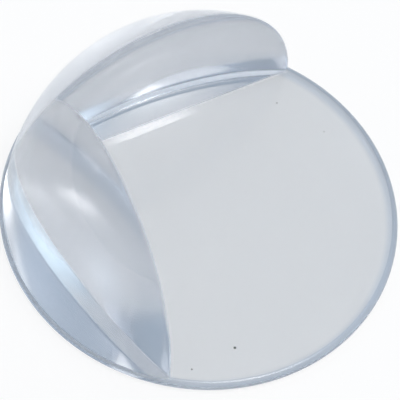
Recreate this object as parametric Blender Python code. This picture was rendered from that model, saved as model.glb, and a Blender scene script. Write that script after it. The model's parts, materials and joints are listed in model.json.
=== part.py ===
"""Clear ball-type corner guard for the corner of a table top or a shelf.

One moulded piece of soft clear PVC: a thin round plate with a full-round rim, and two thick walls
that stand on it at a right angle. The walls are what is left of a ball when a square pocket is cut
out of it. The table's corner lies on the plate inside the pocket, against the two flat inner faces.
The plate's outer face is at z = 0, its centre is the origin, and the pocket opens towards +X and -Y.
"""
import math

import bmesh
import bpy
from mathutils import Matrix

# Driving dimensions, in metres.
PLATE_RADIUS = 0.0170        # the plate's widest circle
PLATE_THICKNESS = 0.00105    # its edge is a full half-round
BALL_RADIUS = 0.01675        # the ball's widest circle, in the plane of the plate's outer face
WALL_HEIGHT = 0.0160         # highest point of the walls above the plate's outer face
POCKET_OFFSET = 0.0096       # from the plate's centre to each flat inner face
EDGE_RADIUS = 0.0002         # rounding along the walls' free edges
ROOT_RADIUS = 0.0002         # fillet where the inner faces meet the plate

ACROSS_DIAGONAL = Matrix(((0, -1, 0, 0), (-1, 0, 0, 0), (0, 0, 1, 0), (0, 0, 0, 1)))

# Facets.
PLATE_STEPS = 72
RIM_SEGMENTS = 6
WALL_STEPS = 72
BALL_SEGMENTS = 12
FILLET_SEGMENTS = 3

# Look of the clear moulding.
PVC_COLOUR = (0.83, 0.85, 0.88, 1.0)
PVC_ROUGHNESS = 0.06
PVC_IOR = 1.53
PVC_TRANSMISSION = 0.9


def clear_scene():
    """Remove what the file holds, so that the script can be run again."""
    for existing in list(bpy.data.objects):
        bpy.data.objects.remove(existing, do_unlink=True)


def clear_pvc():
    """The clear plastic's material."""
    material = bpy.data.materials.new("clear_pvc")
    material.use_nodes = True
    shader = material.node_tree.nodes["Principled BSDF"]
    shader.inputs["Base Color"].default_value = PVC_COLOUR
    shader.inputs["Roughness"].default_value = PVC_ROUGHNESS
    shader.inputs["Metallic"].default_value = 0.0
    shader.inputs["IOR"].default_value = PVC_IOR
    shader.inputs["Transmission Weight"].default_value = PVC_TRANSMISSION
    return material


def arc(centre, radius, start, end, segments):
    """Points on an arc in a profile's plane, both ends included. Angles run from the first axis."""
    points = []
    for step in range(segments + 1):
        angle = start + (end - start) * step / segments
        points.append((centre[0] + radius * math.cos(angle), centre[1] + radius * math.sin(angle)))
    return points


def turned(points, axis, steps):
    """A closed solid turned about an axis through the origin, from a profile that ends on it."""
    bm = bmesh.new()
    vertices = [bm.verts.new(point) for point in points]
    edges = [bm.edges.new(pair) for pair in zip(vertices, vertices[1:])]
    bmesh.ops.spin(bm, geom=vertices + edges, cent=(0, 0, 0), axis=axis, angle=math.tau,
                   steps=steps, use_merge=True, use_duplicate=False)
    bmesh.ops.remove_doubles(bm, verts=bm.verts, dist=1e-7)
    bmesh.ops.recalc_face_normals(bm, faces=bm.faces)
    return bm


def everything(bm):
    """All of a bmesh's geometry, for operators that ask for it."""
    return bm.verts[:] + bm.edges[:] + bm.faces[:]


def reflect(bm, vertices):
    """Mirror vertices across the upright plane through the pocket's corner, where x = -y."""
    bmesh.ops.transform(bm, matrix=ACROSS_DIAGONAL, verts=vertices)


def finished(bm, name, is_guide=False):
    """An object made from a bmesh. A guide is only used by a Boolean."""
    bmesh.ops.recalc_face_normals(bm, faces=bm.faces)
    mesh = bpy.data.meshes.new(name)
    bm.to_mesh(mesh)
    bm.free()
    mesh.shade_smooth()
    mesh.set_sharp_from_angle(angle=math.radians(30))
    piece = bpy.data.objects.new(name, mesh)
    bpy.context.scene.collection.objects.link(piece)
    if is_guide:
        piece.hide_render = True
        piece.display_type = "WIRE"
    return piece


def plate():
    """The round plate: flat on both faces, with a full-round rim."""
    half = PLATE_THICKNESS / 2
    rim = arc((PLATE_RADIUS - half, half), half, -math.pi / 2, math.pi / 2, RIM_SEGMENTS)
    profile = [(0, 0, 0)] + [(r, 0, z) for r, z in rim] + [(0, 0, PLATE_THICKNESS)]
    return finished(turned(profile, (0, 0, 1), PLATE_STEPS), "corner_guard")


def edge_ring_radius():
    """Radius of the ring on which the centre of a free edge's rounding runs, about +Y."""
    return math.sqrt((BALL_RADIUS - EDGE_RADIUS) ** 2 - (POCKET_OFFSET + EDGE_RADIUS) ** 2)


def ball_stretch():
    """How much taller than wide the ball is, so that the free edges' top is at WALL_HEIGHT."""
    return WALL_HEIGHT / (edge_ring_radius() + EDGE_RADIUS)


def walls():
    """Both walls as one solid, down to the middle of the plate.

    One wall is a cap of the ball, turned about +Y with its flat face and its rounded edge. It is
    stretched upwards, cut at the middle of the plate and at the diagonal through the pocket's
    corner, and mirrored across that diagonal.
    """
    ring = edge_ring_radius()
    edge_end = math.atan2(POCKET_OFFSET + EDGE_RADIUS, ring)
    edge = arc((ring, POCKET_OFFSET + EDGE_RADIUS), EDGE_RADIUS, -math.pi / 2, edge_end,
               FILLET_SEGMENTS)
    ball = arc((0, 0), BALL_RADIUS, edge_end, math.pi / 2, BALL_SEGMENTS)
    profile = [(0, POCKET_OFFSET, 0)] + [(r, y, 0) for r, y in edge + ball[1:-1]]
    profile.append((0, BALL_RADIUS, 0))
    bm = turned(profile, (0, 1, 0), WALL_STEPS)
    bmesh.ops.scale(bm, vec=(1, 1, ball_stretch()), verts=bm.verts)

    cut = bmesh.ops.bisect_plane(bm, geom=everything(bm), dist=1e-7, clear_inner=True,
                                 plane_co=(0, 0, PLATE_THICKNESS / 2), plane_no=(0, 0, 1))
    rim = [item for item in cut["geom_cut"] if isinstance(item, bmesh.types.BMEdge)]
    bmesh.ops.edgeloop_fill(bm, edges=rim)
    bmesh.ops.bisect_plane(bm, geom=everything(bm), dist=1e-7, clear_inner=True,
                           plane_co=(0, 0, 0), plane_no=(1, 1, 0))
    half = bmesh.ops.duplicate(bm, geom=everything(bm))["geom"]
    reflect(bm, [item for item in half if isinstance(item, bmesh.types.BMVert)])
    bmesh.ops.remove_doubles(bm, verts=bm.verts, dist=1e-6)
    return finished(bm, "walls_guide", is_guide=True)


def root_fillet(other_wall):
    """A strip with a hollow quarter-round section, along the foot of one inner face.

    It is modelled along the wall at y = POCKET_OFFSET, and mirrored across the pocket's diagonal
    for the other wall.
    """
    depth = PLATE_THICKNESS / 2
    foot = PLATE_THICKNESS / ball_stretch()
    far_end = math.sqrt(edge_ring_radius() ** 2 - foot ** 2)
    hollow = arc((-ROOT_RADIUS, ROOT_RADIUS), ROOT_RADIUS, -math.pi / 2, 0, FILLET_SEGMENTS)
    section = [(-ROOT_RADIUS, -depth)] + hollow + [(depth, ROOT_RADIUS), (depth, -depth)]
    bm = bmesh.new()
    start = -POCKET_OFFSET - depth
    corners = [bm.verts.new((start, POCKET_OFFSET + y, PLATE_THICKNESS + z)) for y, z in section]
    face = bm.faces.new(corners)
    grown = bmesh.ops.extrude_face_region(bm, geom=[face])
    moved = [item for item in grown["geom"] if isinstance(item, bmesh.types.BMVert)]
    bmesh.ops.translate(bm, vec=(far_end - start, 0, 0), verts=moved)
    if other_wall:
        reflect(bm, bm.verts)
    return finished(bm, "root_fillet_guide", is_guide=True)


def join(body, addition):
    """Add a guide's solid to the body."""
    union = body.modifiers.new(addition.name, "BOOLEAN")
    union.operation = "UNION"
    union.solver = "EXACT"
    union.object = addition


def corner_guard():
    """The whole moulding as one solid."""
    body = plate()
    join(body, walls())
    join(body, root_fillet(other_wall=False))
    join(body, root_fillet(other_wall=True))
    body.data.materials.append(clear_pvc())
    return body


clear_scene()
corner_guard()
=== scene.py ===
"""Looks of a clear ball-type corner guard: its fine moulding, its soft clear PVC and a pale stage.

The guard is one moulded piece: a thin round plate, and two thick walls that are what is left of a
ball when a square pocket is cut out of it. The plate's outer face is at z = 0, its centre is the
origin, and the pocket opens towards +X and -Y.
"""
import json
import math

import bmesh
import bpy
from bpy.props import FloatProperty, FloatVectorProperty, IntProperty, PointerProperty
from mathutils import Matrix, Vector


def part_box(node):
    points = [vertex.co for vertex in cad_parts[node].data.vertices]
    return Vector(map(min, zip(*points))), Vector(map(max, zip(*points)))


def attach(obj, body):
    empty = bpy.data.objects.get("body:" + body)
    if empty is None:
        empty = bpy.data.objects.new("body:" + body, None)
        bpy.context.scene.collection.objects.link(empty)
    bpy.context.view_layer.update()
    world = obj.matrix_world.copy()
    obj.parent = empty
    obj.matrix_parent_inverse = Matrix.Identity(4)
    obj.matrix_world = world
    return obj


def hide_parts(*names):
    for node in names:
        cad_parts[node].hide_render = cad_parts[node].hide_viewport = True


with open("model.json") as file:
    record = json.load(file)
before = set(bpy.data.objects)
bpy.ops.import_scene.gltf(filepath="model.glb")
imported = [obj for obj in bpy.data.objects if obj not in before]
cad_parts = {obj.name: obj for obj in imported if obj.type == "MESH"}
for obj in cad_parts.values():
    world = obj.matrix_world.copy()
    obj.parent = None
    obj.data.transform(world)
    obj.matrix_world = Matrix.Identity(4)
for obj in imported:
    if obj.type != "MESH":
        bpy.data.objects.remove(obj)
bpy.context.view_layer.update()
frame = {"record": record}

bl_info = {
    "name": "Clear Corner Guard",
    "version": (1, 0, 0),
    "blender": (4, 5, 0),
    "location": "View3D > Sidebar > Corner Guard",
    "description": "Models a clear ball-type corner guard and the stage that it lies on",
    "category": "Add Mesh",
}

NODE = "corner_guard"
SLOT = "clear_pvc"
BODY = "root"

# What the frame says of the moulding's sizes.
MOUNTS = {mount["name"]: mount["pos_m"] for mount in frame["record"]["mounts"]}
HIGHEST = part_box(NODE)[1]
CAD_PLATE_RADIUS = HIGHEST.x
CAD_WALL_HEIGHT = HIGHEST.z
CAD_PLATE_THICKNESS = MOUNTS["plate_inner_face"][2]
CAD_POCKET_OFFSET = MOUNTS["rear_wall_inner_face"][1]

ACROSS_DIAGONAL = Matrix(((0, -1, 0, 0), (-1, 0, 0, 0), (0, 0, 1, 0), (0, 0, 0, 1)))
WELD = 1e-7
SEAM_WELD = 1e-6        # for the two halves' points on the diagonal
SHARP_ANGLE = math.radians(30)

# Specks in the plate's inner face: place, radius and how dark.
SPECKS = (
    ((-0.00330, -0.01309), 0.00016, 1.0),
    ((-0.00757, -0.01348), 0.00011, 0.8),
    ((0.01104, 0.00698), 0.00012, 0.45),
    ((0.01345, 0.00279), 0.00010, 0.35),
)

# The photograph's view of the guard. Pixels are the photograph's.
VIEW_ELEVATION = math.radians(58.55)
VIEW_HEADING = math.radians(36.14)      # clockwise from +Y, seen from above
VIEW_ROLL = math.radians(10.71)
VIEW_DISTANCE = 0.595
PHOTO_SIDE = 400
PLATE_RADIUS_IN_PHOTO = 200.2
PLATE_CENTRE_IN_PHOTO = (198.76, 214.60)
SENSOR_WIDTH = 36.0                     # in millimetres, as the lens is
CLIP_RATIO = 20

# Soft lights of the room: azimuth and elevation in degrees, tightness, and how bright.
# Right, left and behind are as the camera sees them.
ROOM_LIGHTS = (
    (322, 76, 46, (12.9, 12.45, 11.9)),     # the main light, high on the right
    (110, 40, 2.5, (0.14, 0.16, 0.18)),     # a wide glow, behind on the left
    (22, 30, 16, (1.00, 1.12, 1.20)),       # behind on the right
    (70, 58, 22, (0.38, 0.32, 0.25)),       # a warm one, high behind
    (66, 63.5, 150, (0.50, 0.54, 0.58)),    # a small one within it
    (50, 7, 150, (1.00, 1.22, 1.28)),       # a small one, low behind
    (154, 48, 25, (0.15, 0.17, 0.20)),      # a faint one on the left
)
LIGHT_BOUNCES = 32

FLOOR_GAP = 0.00005     # how far the floor is under the plate
FLOOR_SEGMENTS = 128

FLOAT = "NodeSocketFloat"
VECTOR = "NodeSocketVector"


class CornerGuardSizes(bpy.types.PropertyGroup):
    """Sizes of the moulding, and how finely it is faceted."""

    plate_radius: FloatProperty(
        name="Plate Radius", description="Widest circle of the round plate",
        default=CAD_PLATE_RADIUS, min=0.005, max=0.05, precision=5, subtype="DISTANCE", unit="LENGTH")
    plate_thickness: FloatProperty(
        name="Plate Thickness", description="Thickness of the plate, whose rim is a full half-round",
        default=CAD_PLATE_THICKNESS, min=0.0005, max=0.005, precision=5, subtype="DISTANCE", unit="LENGTH")
    ball_radius: FloatProperty(
        name="Ball Radius", description="Widest circle of the ball that the walls are cut from",
        default=0.01675, min=0.005, max=0.05, precision=5, subtype="DISTANCE", unit="LENGTH")
    wall_height: FloatProperty(
        name="Wall Height", description="Highest point of the walls above the plate's outer face",
        default=CAD_WALL_HEIGHT, min=0.004, max=0.05, precision=5, subtype="DISTANCE", unit="LENGTH")
    pocket_offset: FloatProperty(
        name="Pocket Offset", description="From the plate's centre to each flat inner face",
        default=CAD_POCKET_OFFSET, min=0.002, max=0.04, precision=5, subtype="DISTANCE", unit="LENGTH")
    edge_radius: FloatProperty(
        name="Edge Radius", description="Rounding along the walls' free edges",
        default=0.0002, min=0.00005, max=0.001, precision=5, subtype="DISTANCE", unit="LENGTH")
    root_radius: FloatProperty(
        name="Root Radius", description="Fillet where the inner faces meet the plate",
        default=0.0002, min=0.00005, max=0.001, precision=5, subtype="DISTANCE", unit="LENGTH")
    plate_steps: IntProperty(
        name="Plate Steps", description="Facets round the plate", default=360, min=24, max=720)
    rim_segments: IntProperty(
        name="Rim Segments", description="Facets across the plate's rim", default=16, min=4, max=32)
    wall_steps: IntProperty(
        name="Wall Steps", description="Facets round the ball", default=360, min=24, max=720)
    ball_segments: IntProperty(
        name="Ball Segments", description="Facets from a free edge to the ball's side", default=60,
        min=8, max=160)
    edge_segments: IntProperty(
        name="Edge Segments", description="Facets across an edge's rounding or a fillet", default=6,
        min=2, max=12)


class ClearPvcLook(bpy.types.PropertyGroup):
    """Finish of the soft clear PVC."""

    tint: FloatVectorProperty(
        name="Tint", description="Colour that light keeps on its way through the plastic",
        default=(0.905, 0.92, 0.935), min=0.0, max=1.0, subtype="COLOR")
    wall_tint: FloatVectorProperty(
        name="Wall Tint", description="Colour that light keeps on its way through a wall's surface",
        default=(0.87, 0.905, 0.965), min=0.0, max=1.0, subtype="COLOR")
    # The rim's colour here is painted shade: a darker, bluer rim in place of the shadow under it. The
    # three sizes after it say where that painted shade lies.
    rim_painted_shade: FloatVectorProperty(
        name="Rim Painted Shade", description="Colour that light keeps on its way through the plate's rim",
        default=(0.63, 0.69, 0.77), min=0.0, max=1.0, subtype="COLOR")
    rim_shade_width: FloatProperty(
        name="Rim Width", description="How far in from its widest circle the plate has the rim's tint",
        default=0.00055, min=0.0, max=0.003, precision=5, subtype="DISTANCE", unit="LENGTH")
    rim_shade_softness: FloatProperty(
        name="Rim Softness", description="Width over which the rim's tint fades out",
        default=0.00015, min=0.0, max=0.002, precision=5, subtype="DISTANCE", unit="LENGTH")
    underside_shade_width: FloatProperty(
        name="Underside Width", description="How far in the rim's tint fades out on the outer face",
        default=0.0012, min=0.0, max=0.005, precision=5, subtype="DISTANCE", unit="LENGTH")
    speck_tone: FloatVectorProperty(
        name="Speck Tone", description="Colour of the specks in the plate",
        default=(0.02, 0.03, 0.03), min=0.0, max=1.0, subtype="COLOR")
    roughness: FloatProperty(
        name="Roughness", description="Roughness of the moulded surface where it is clearest",
        default=0.065, min=0.0, max=1.0, subtype="FACTOR")
    cloudy_roughness: FloatProperty(
        name="Cloudy Roughness", description="Roughness of the moulded surface where it is cloudiest",
        default=0.104, min=0.0, max=1.0, subtype="FACTOR")
    wave_scale: FloatProperty(
        name="Wave Scale", description="How closely the surface's slow waves follow each other",
        default=150.0, min=1.0, max=2000.0)
    wave_height: FloatProperty(
        name="Wave Height", description="Height of the surface's slow waves",
        default=0.000004, min=0.0, max=0.001, precision=6, subtype="DISTANCE", unit="LENGTH")
    cloud_scale: FloatProperty(
        name="Cloud Scale", description="How fine the surface's cloudiness is",
        default=400.0, min=1.0, max=5000.0)
    ior: FloatProperty(
        name="IOR", description="Index of refraction of soft PVC", default=1.46, min=1.0, max=2.5)


class StageLook(bpy.types.PropertyGroup):
    """Floor and light round the guard."""

    floor_radius: FloatProperty(
        name="Floor Radius", description="Radius of the pale floor", default=2.0, min=0.05, max=5.0,
        subtype="DISTANCE", unit="LENGTH")
    floor_tone: FloatVectorProperty(
        name="Floor Tone", description="Colour of the floor", default=(0.92, 0.93, 0.95), min=0.0,
        max=1.0, subtype="COLOR")
    white_straight: FloatProperty(
        name="White Straight", description="Plain white in the floor where the camera sees it straight",
        default=0.85, min=0.0, max=1.0, subtype="FACTOR")
    white_through: FloatProperty(
        name="White Through", description="Plain white in the floor seen in or through the guard",
        default=0.35, min=0.0, max=1.0, subtype="FACTOR")
    dim_tone: FloatVectorProperty(
        name="Dim Tone", description="Light of the room between its soft lights",
        default=(0.23, 0.28, 0.34), min=0.0, max=1.0, subtype="COLOR")


def arc(centre, radius, start, end, segments):
    """Points on an arc in a profile's plane, both ends included. Angles run from the first axis."""
    points = []
    for step in range(segments + 1):
        angle = start + (end - start) * step / segments
        points.append((centre[0] + radius * math.cos(angle), centre[1] + radius * math.sin(angle)))
    return points


def turned(points, axis, steps):
    """A closed solid turned about an axis through the origin, from a profile that ends on it."""
    bm = bmesh.new()
    vertices = [bm.verts.new(point) for point in points]
    edges = [bm.edges.new(pair) for pair in zip(vertices, vertices[1:])]
    bmesh.ops.spin(bm, geom=vertices + edges, cent=(0, 0, 0), axis=axis, angle=math.tau,
                   steps=steps, use_merge=True, use_duplicate=False)
    bmesh.ops.remove_doubles(bm, verts=bm.verts, dist=WELD)
    bmesh.ops.recalc_face_normals(bm, faces=bm.faces)
    return bm


def everything(bm):
    """All of a bmesh's geometry, for operators that ask for it."""
    return bm.verts[:] + bm.edges[:] + bm.faces[:]


def vertices_of(geometry):
    """The vertices among an operator's results."""
    return [item for item in geometry if isinstance(item, bmesh.types.BMVert)]


def edges_of(geometry):
    """The edges among an operator's results."""
    return [item for item in geometry if isinstance(item, bmesh.types.BMEdge)]


def solid_from(bm, name):
    """A linked object made from a bmesh, with its faces pointing out."""
    bmesh.ops.recalc_face_normals(bm, faces=bm.faces)
    mesh = bpy.data.meshes.new(name)
    bm.to_mesh(mesh)
    bm.free()
    solid = bpy.data.objects.new(name, mesh)
    bpy.context.scene.collection.objects.link(solid)
    return solid


def plate(sizes):
    """The round plate: flat on both faces, with a full-round rim."""
    half = sizes.plate_thickness / 2
    rim = arc((sizes.plate_radius - half, half), half, -math.pi / 2, math.pi / 2, sizes.rim_segments)
    profile = [(0, 0, 0)] + [(r, 0, z) for r, z in rim] + [(0, 0, sizes.plate_thickness)]
    return solid_from(turned(profile, (0, 0, 1), sizes.plate_steps), "guard_moulding")


def edge_ring_radius(sizes):
    """Radius of the ring on which the centre of a free edge's rounding runs, about +Y."""
    across = sizes.pocket_offset + sizes.edge_radius
    return math.sqrt((sizes.ball_radius - sizes.edge_radius) ** 2 - across ** 2)


def ball_stretch(sizes):
    """How much taller than wide the ball is, so that the free edges' top is at the wall height."""
    return sizes.wall_height / (edge_ring_radius(sizes) + sizes.edge_radius)


def walls(sizes):
    """Both walls as one solid, down to the middle of the plate.

    One wall is a cap of the ball, turned about +Y with its flat face and its rounded edge. It is
    stretched upwards, cut at the middle of the plate and at the diagonal through the pocket's
    corner, and mirrored across that diagonal.
    """
    ring = edge_ring_radius(sizes)
    across = sizes.pocket_offset + sizes.edge_radius
    edge_end = math.atan2(across, ring)
    edge = arc((ring, across), sizes.edge_radius, -math.pi / 2, edge_end, sizes.edge_segments)
    ball = arc((0, 0), sizes.ball_radius, edge_end, math.pi / 2, sizes.ball_segments)
    profile = [(0, sizes.pocket_offset, 0)] + [(r, y, 0) for r, y in edge + ball[1:-1]]
    profile.append((0, sizes.ball_radius, 0))
    bm = turned(profile, (0, 1, 0), sizes.wall_steps)
    bmesh.ops.scale(bm, vec=(1, 1, ball_stretch(sizes)), verts=bm.verts)

    cut = bmesh.ops.bisect_plane(bm, geom=everything(bm), dist=WELD, clear_inner=True,
                                 plane_co=(0, 0, sizes.plate_thickness / 2), plane_no=(0, 0, 1))
    bmesh.ops.edgeloop_fill(bm, edges=edges_of(cut["geom_cut"]))
    bmesh.ops.bisect_plane(bm, geom=everything(bm), dist=WELD, clear_inner=True,
                           plane_co=(0, 0, 0), plane_no=(1, 1, 0))
    half = bmesh.ops.duplicate(bm, geom=everything(bm))["geom"]
    bmesh.ops.transform(bm, matrix=ACROSS_DIAGONAL, verts=vertices_of(half))
    bmesh.ops.remove_doubles(bm, verts=bm.verts, dist=SEAM_WELD)
    return solid_from(bm, "walls")


def root_fillet(sizes, other_wall):
    """A strip with a hollow quarter-round section, along the foot of one inner face.

    It is modelled along the wall on the +Y side, and mirrored across the pocket's diagonal for the
    other wall.
    """
    radius = sizes.root_radius
    depth = sizes.plate_thickness / 2
    foot = sizes.plate_thickness / ball_stretch(sizes)
    far_end = math.sqrt(edge_ring_radius(sizes) ** 2 - foot ** 2)
    hollow = arc((-radius, radius), radius, -math.pi / 2, 0, sizes.edge_segments)
    section = [(-radius, -depth)] + hollow + [(depth, radius), (depth, -depth)]
    start = -sizes.pocket_offset - depth
    bm = bmesh.new()
    corners = [bm.verts.new((start, sizes.pocket_offset + y, sizes.plate_thickness + z))
               for y, z in section]
    grown = bmesh.ops.extrude_face_region(bm, geom=[bm.faces.new(corners)])
    bmesh.ops.translate(bm, vec=(far_end - start, 0, 0), verts=vertices_of(grown["geom"]))
    if other_wall:
        bmesh.ops.transform(bm, matrix=ACROSS_DIAGONAL, verts=bm.verts)
    return solid_from(bm, "root_fillet")


def merged(body, additions):
    """Unite a solid with others into one closed mesh, and delete the others."""
    for addition in additions:
        union = body.modifiers.new(addition.name, "BOOLEAN")
        union.operation = "UNION"
        union.solver = "EXACT"
        union.object = addition
    whole = bpy.data.meshes.new_from_object(body.evaluated_get(bpy.context.evaluated_depsgraph_get()))
    body.modifiers.clear()
    body.data = whole
    for addition in additions:
        bpy.data.objects.remove(addition, do_unlink=True)


def add_node(tree, kind, **settings):
    """A new node with some of its settings made."""
    node = tree.nodes.new(kind)
    for name, value in settings.items():
        setattr(node, name, value)
    return node


def math_node(tree, operation, first, second=None, clamp=False):
    """The result of a Math node, whose inputs are numbers or outputs of other nodes."""
    node = add_node(tree, "ShaderNodeMath", operation=operation, use_clamp=clamp)
    for socket, value in zip(node.inputs, (first, second)):
        if isinstance(value, bpy.types.NodeSocket):
            tree.links.new(value, socket)
        elif value is not None:
            socket.default_value = value
    return node.outputs[0]


def smooth_step(tree, value, start, end):
    """0 at start and 1 at end, eased, whichever of them is larger."""
    node = add_node(tree, "ShaderNodeMapRange", interpolation_type="SMOOTHSTEP")
    for name, item in (("Value", value), ("From Min", start), ("From Max", end)):
        if isinstance(item, bpy.types.NodeSocket):
            tree.links.new(item, node.inputs[name])
        else:
            node.inputs[name].default_value = item
    return node.outputs["Result"]


def new_group(name, inputs, outputs):
    """An empty node group with its named sockets, and its two end nodes."""
    group = bpy.data.node_groups.new(name, "ShaderNodeTree")
    for socket, kind in inputs:
        group.interface.new_socket(name=socket, in_out="INPUT", socket_type=kind)
    for socket, kind in outputs:
        group.interface.new_socket(name=socket, in_out="OUTPUT", socket_type=kind)
    return group, add_node(group, "NodeGroupInput").outputs, add_node(group, "NodeGroupOutput").inputs


def placed(tree, group, position, values):
    """A group placed in a material, reading a position, with its own values set."""
    node = add_node(tree, "ShaderNodeGroup", node_tree=group)
    tree.links.new(position, node.inputs["Position"])
    for name, value in values.items():
        node.inputs[name].default_value = value
    return node


def rim_band_group():
    """Where a round plate's rim is, for the painted shade there: outside a radius, and below a height."""
    group, given, result = new_group(
        "Rim Band",
        (("Position", VECTOR), ("Inner Radius", FLOAT), ("Full Radius", FLOAT), ("Height", FLOAT)),
        (("Mask", FLOAT),))
    split = add_node(group, "ShaderNodeSeparateXYZ")
    group.links.new(given["Position"], split.inputs[0])
    x_squared = math_node(group, "MULTIPLY", split.outputs["X"], split.outputs["X"])
    y_squared = math_node(group, "MULTIPLY", split.outputs["Y"], split.outputs["Y"])
    radius = math_node(group, "SQRT", math_node(group, "ADD", x_squared, y_squared))
    outside = smooth_step(group, radius, given["Inner Radius"], given["Full Radius"])
    low = math_node(group, "LESS_THAN", split.outputs["Z"], given["Height"])
    group.links.new(math_node(group, "MULTIPLY", outside, low), result["Mask"])
    return group


def speck_group():
    """A small round speck, full within half its radius, added to the specks so far."""
    group, given, result = new_group(
        "Speck",
        (("Position", VECTOR), ("Centre", VECTOR), ("Radius", FLOAT), ("Depth", FLOAT), ("So Far", FLOAT)),
        (("Mask", FLOAT),))
    away = add_node(group, "ShaderNodeVectorMath", operation="DISTANCE")
    group.links.new(given["Position"], away.inputs[0])
    group.links.new(given["Centre"], away.inputs[1])
    inner = math_node(group, "MULTIPLY", given["Radius"], 0.5)
    speck = math_node(group, "MULTIPLY", smooth_step(group, away.outputs["Value"], given["Radius"], inner),
                      given["Depth"])
    group.links.new(math_node(group, "MAXIMUM", speck, given["So Far"]), result["Mask"])
    return group


def moulding_group():
    """Slow waves and a fine cloudiness, as a moulded surface has."""
    group, given, result = new_group(
        "Moulded Surface",
        (("Position", VECTOR), ("Wave Scale", FLOAT), ("Cloud Scale", FLOAT)),
        (("Height", FLOAT), ("Cloud", FLOAT)))
    clear_below, cloudy_above = 0.35, 0.65
    waves = add_node(group, "ShaderNodeTexNoise")
    waves.inputs["Detail"].default_value = 1.0
    clouds = add_node(group, "ShaderNodeTexNoise")
    clouds.inputs["Detail"].default_value = 3.0
    for noise, scale in ((waves, "Wave Scale"), (clouds, "Cloud Scale")):
        group.links.new(given["Position"], noise.inputs["Vector"])
        group.links.new(given[scale], noise.inputs["Scale"])
    group.links.new(waves.outputs["Fac"], result["Height"])
    cloud = smooth_step(group, clouds.outputs["Fac"], clear_below, cloudy_above)
    group.links.new(cloud, result["Cloud"])
    return group


def mixed(tree, factor, first, second):
    """A colour blend. Each colour is fixed or comes from another node.

    A Mix node's sockets are found by number, because it has some of each name for other kinds.
    """
    node = add_node(tree, "ShaderNodeMix", data_type="RGBA")
    tree.links.new(factor, node.inputs["Factor"])
    for socket, colour in zip((node.inputs[6], node.inputs[7]), (first, second)):
        if isinstance(colour, bpy.types.NodeSocket):
            tree.links.new(colour, socket)
        else:
            socket.default_value = (*colour, 1.0)
    return node.outputs[2]


def clear_pvc(look, sizes):
    """Soft clear PVC, with painted shade at the plate's rim and a few specks in it."""
    material = bpy.data.materials.new(SLOT)
    material.use_nodes = True
    tree = material.node_tree
    shader = tree.nodes["Principled BSDF"]
    shader.inputs["IOR"].default_value = look.ior
    shader.inputs["Transmission Weight"].default_value = 1.0
    position = add_node(tree, "ShaderNodeTexCoord").outputs["Object"]

    # The rim's painted shade stands in for the shadow on the floor under the rim, and reaches further in
    # on the outer face.
    rim_band = rim_band_group()
    rim_start = sizes.plate_radius - look.rim_shade_width
    rim = placed(tree, rim_band, position, {
        "Inner Radius": rim_start - look.rim_shade_softness, "Full Radius": rim_start,
        "Height": sizes.plate_thickness})
    underside = placed(tree, rim_band, position, {
        "Inner Radius": sizes.plate_radius - look.underside_shade_width, "Full Radius": rim_start,
        "Height": sizes.plate_thickness / 4})
    banded = math_node(tree, "MAXIMUM", rim.outputs["Mask"], underside.outputs["Mask"])
    speck = speck_group()
    specks = None
    for (x, y), radius, depth in SPECKS:
        node = placed(tree, speck, position, {
            "Centre": (x, y, sizes.plate_thickness), "Radius": radius, "Depth": depth})
        if specks is not None:
            tree.links.new(specks, node.inputs["So Far"])
        specks = node.outputs["Mask"]
    surface = placed(tree, moulding_group(), position, {
        "Wave Scale": look.wave_scale, "Cloud Scale": look.cloud_scale})

    split = add_node(tree, "ShaderNodeSeparateXYZ")
    tree.links.new(position, split.inputs[0])
    in_wall = smooth_step(tree, split.outputs["Z"], sizes.plate_thickness,
                          sizes.plate_thickness + sizes.root_radius)
    walled = mixed(tree, in_wall, look.tint, look.wall_tint)
    # Painted shade: the rim is darkened and blued in place of the shadow on the floor under it.
    plain = mixed(tree, banded, walled, look.rim_painted_shade)
    tree.links.new(mixed(tree, specks, plain, look.speck_tone), shader.inputs["Base Color"])
    rough = add_node(tree, "ShaderNodeMapRange")
    rough.inputs["To Min"].default_value = look.roughness
    rough.inputs["To Max"].default_value = look.cloudy_roughness
    tree.links.new(surface.outputs["Cloud"], rough.inputs["Value"])
    tree.links.new(rough.outputs["Result"], shader.inputs["Roughness"])
    bump = add_node(tree, "ShaderNodeBump")
    bump.inputs["Strength"].default_value = 1.0
    bump.inputs["Distance"].default_value = look.wave_height
    tree.links.new(surface.outputs["Height"], bump.inputs["Height"])
    tree.links.new(bump.outputs["Normal"], shader.inputs["Normal"])
    return material


class MESH_OT_corner_guard_moulding(bpy.types.Operator):
    """Model the guard's one-piece moulding and give it its clear PVC"""

    bl_idname = "mesh.corner_guard_moulding"
    bl_label = "Guard Moulding"
    bl_options = {"REGISTER", "UNDO"}

    def execute(self, context):
        sizes = context.scene.corner_guard_sizes
        piece = plate(sizes)
        merged(piece, [walls(sizes), root_fillet(sizes, False), root_fillet(sizes, True)])
        piece.data.shade_smooth()
        piece.data.set_sharp_from_angle(angle=SHARP_ANGLE)
        flatten = piece.modifiers.new("Flat Faces Stay Flat", "WEIGHTED_NORMAL")
        flatten.keep_sharp = True
        flatten.weight = 100
        piece.data.materials.clear()
        piece.data.materials.append(clear_pvc(context.scene.clear_pvc_look, sizes))
        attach(piece, BODY)
        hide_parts(NODE)
        return {"FINISHED"}


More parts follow.
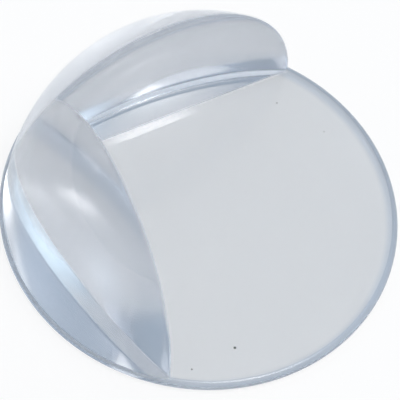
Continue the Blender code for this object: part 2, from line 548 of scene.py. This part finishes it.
def add_camera(scene, sizes):
    """The camera at the photograph's angle, far off with a long lens."""
    level = math.cos(VIEW_ELEVATION)
    forward = Vector((math.sin(VIEW_HEADING) * level, math.cos(VIEW_HEADING) * level,
                      -math.sin(VIEW_ELEVATION)))
    level_right = Vector((math.cos(VIEW_HEADING), -math.sin(VIEW_HEADING), 0))
    level_up = level_right.cross(forward)
    right = level_right * math.cos(VIEW_ROLL) + level_up * math.sin(VIEW_ROLL)
    up = level_up * math.cos(VIEW_ROLL) - level_right * math.sin(VIEW_ROLL)
    plate_centre = Vector((0, 0, sizes.plate_thickness / 2))
    pixels_per_metre = PLATE_RADIUS_IN_PHOTO / sizes.plate_radius
    aside = (PHOTO_SIDE / 2 - PLATE_CENTRE_IN_PHOTO[0]) / pixels_per_metre
    above = (PLATE_CENTRE_IN_PHOTO[1] - PHOTO_SIDE / 2) / pixels_per_metre

    data = bpy.data.cameras.new("camera")
    data.sensor_width = SENSOR_WIDTH
    data.lens = SENSOR_WIDTH * pixels_per_metre * VIEW_DISTANCE / PHOTO_SIDE
    data.clip_start = VIEW_DISTANCE / CLIP_RATIO
    data.clip_end = VIEW_DISTANCE * CLIP_RATIO
    camera = bpy.data.objects.new("camera", data)
    turn = Matrix((right, up, -forward)).transposed().to_4x4()
    place = plate_centre - forward * VIEW_DISTANCE + right * aside + up * above
    camera.matrix_world = Matrix.Translation(place) @ turn
    scene.collection.objects.link(camera)
    scene.camera = camera


def pale_floor_material(look):
    """White to the eye, straight or through the guard, with the guard's soft shadow left on it.

    The matt part takes light and shadow. The glowing part is plain white at a strength of 1, and
    covers most of what the camera sees straight and some of what it sees by way of the guard.
    """
    material = bpy.data.materials.new("pale_floor")
    material.use_nodes = True
    tree = material.node_tree
    tree.nodes.clear()
    output = add_node(tree, "ShaderNodeOutputMaterial")
    blend = add_node(tree, "ShaderNodeMixShader")
    matt = add_node(tree, "ShaderNodeBsdfDiffuse")
    glow = add_node(tree, "ShaderNodeEmission")
    path = add_node(tree, "ShaderNodeLightPath").outputs
    matt.inputs["Color"].default_value = (*look.floor_tone, 1.0)
    glow.inputs["Color"].default_value = (1.0, 1.0, 1.0, 1.0)
    glow.inputs["Strength"].default_value = 1.0
    straight = math_node(tree, "MULTIPLY", path["Is Camera Ray"], look.white_straight)
    by_guard = math_node(tree, "ADD", path["Is Glossy Ray"], path["Is Transmission Ray"], clamp=True)
    through = math_node(tree, "MULTIPLY", by_guard, look.white_through)
    share = math_node(tree, "ADD", straight, through, clamp=True)
    tree.links.new(share, blend.inputs["Fac"])
    tree.links.new(matt.outputs[0], blend.inputs[1])
    tree.links.new(glow.outputs[0], blend.inputs[2])
    tree.links.new(blend.outputs[0], output.inputs["Surface"])
    return material


def add_floor(look):
    """The pale floor, just under the guard's plate."""
    bm = bmesh.new()
    bmesh.ops.create_circle(bm, cap_ends=True, radius=look.floor_radius, segments=FLOOR_SEGMENTS,
                            matrix=Matrix.Translation((0, 0, -FLOOR_GAP)))
    floor = solid_from(bm, "floor")
    floor.data.materials.append(pale_floor_material(look))


def towards(azimuth, elevation):
    """Unit vector to a place in the room. Azimuth runs from +X towards +Y, both in degrees."""
    turn = math.radians(azimuth)
    rise = math.radians(elevation)
    level = math.cos(rise)
    return Vector((math.cos(turn) * level, math.sin(turn) * level, math.sin(rise)))


def soft_light_group():
    """One soft-edged light of a room, added to the light so far."""
    group, given, result = new_group(
        "Soft Room Light",
        (("Position", VECTOR), ("Direction", VECTOR), ("Tightness", FLOAT), ("Light", VECTOR),
         ("So Far", VECTOR)),
        (("Light", VECTOR),))
    along = add_node(group, "ShaderNodeVectorMath", operation="DOT_PRODUCT")
    group.links.new(given["Position"], along.inputs[0])
    group.links.new(given["Direction"], along.inputs[1])
    short = math_node(group, "SUBTRACT", along.outputs["Value"], 1.0)
    fall = math_node(group, "EXPONENT", math_node(group, "MULTIPLY", short, given["Tightness"]))
    scaled = add_node(group, "ShaderNodeVectorMath", operation="SCALE")
    group.links.new(given["Light"], scaled.inputs[0])
    group.links.new(fall, scaled.inputs["Scale"])
    total = add_node(group, "ShaderNodeVectorMath", operation="ADD")
    group.links.new(scaled.outputs[0], total.inputs[0])
    group.links.new(given["So Far"], total.inputs[1])
    group.links.new(total.outputs[0], result["Light"])
    return group


def add_world(scene, look):
    """A dim room with soft lights in it, the brightest of them high over the pocket's open side."""
    world = bpy.data.worlds.new("pale_room")
    world.use_nodes = True
    tree = world.node_tree
    background = tree.nodes["Background"]
    direction = add_node(tree, "ShaderNodeTexCoord").outputs["Generated"]
    soft_light = soft_light_group()
    total = None
    for azimuth, elevation, tightness, light in ROOM_LIGHTS:
        node = placed(tree, soft_light, direction, {
            "Direction": towards(azimuth, elevation), "Tightness": tightness, "Light": light,
            "So Far": look.dim_tone})
        if total is not None:
            tree.links.new(total, node.inputs["So Far"])
        total = node.outputs["Light"]
    tree.links.new(total, background.inputs["Color"])
    background.inputs["Strength"].default_value = 1.0
    scene.world = world


class SCENE_OT_corner_guard_stage(bpy.types.Operator):
    """Add the pale floor, the soft studio light and the camera"""

    bl_idname = "scene.corner_guard_stage"
    bl_label = "Pale Stage"
    bl_options = {"REGISTER", "UNDO"}

    def execute(self, context):
        scene = context.scene
        look = scene.corner_guard_stage_look
        add_floor(look)
        add_world(scene, look)
        add_camera(scene, scene.corner_guard_sizes)
        scene.view_settings.view_transform = "Standard"
        scene.cycles.max_bounces = LIGHT_BOUNCES
        scene.cycles.glossy_bounces = LIGHT_BOUNCES
        scene.cycles.transmission_bounces = LIGHT_BOUNCES
        return {"FINISHED"}


class VIEW3D_PT_corner_guard(bpy.types.Panel):
    """Sizes, looks and pieces of the corner guard"""

    bl_label = "Corner Guard"
    bl_idname = "VIEW3D_PT_corner_guard"
    bl_space_type = "VIEW_3D"
    bl_region_type = "UI"
    bl_category = "Corner Guard"

    def draw(self, context):
        layout = self.layout
        for owner in ("corner_guard_sizes", "clear_pvc_look", "corner_guard_stage_look"):
            group = getattr(context.scene, owner)
            column = layout.column(align=True)
            for name in type(group).__annotations__:
                column.prop(group, name)
        layout.operator(MESH_OT_corner_guard_moulding.bl_idname)
        layout.operator(SCENE_OT_corner_guard_stage.bl_idname)


CLASSES = (
    CornerGuardSizes,
    ClearPvcLook,
    StageLook,
    MESH_OT_corner_guard_moulding,
    SCENE_OT_corner_guard_stage,
    VIEW3D_PT_corner_guard,
)


def register():
    """Register the classes and hang the settings on the scene."""
    for cls in CLASSES:
        bpy.utils.register_class(cls)
    bpy.types.Scene.corner_guard_sizes = PointerProperty(type=CornerGuardSizes)
    bpy.types.Scene.clear_pvc_look = PointerProperty(type=ClearPvcLook)
    bpy.types.Scene.corner_guard_stage_look = PointerProperty(type=StageLook)


def unregister():
    """Take the settings off the scene and unregister the classes."""
    del bpy.types.Scene.corner_guard_stage_look
    del bpy.types.Scene.clear_pvc_look
    del bpy.types.Scene.corner_guard_sizes
    for cls in reversed(CLASSES):
        bpy.utils.unregister_class(cls)


def main():
    """Build the guard and its stage."""
    register()
    bpy.ops.mesh.corner_guard_moulding()
    bpy.ops.scene.corner_guard_stage()


if __name__ == "__main__":
    main()
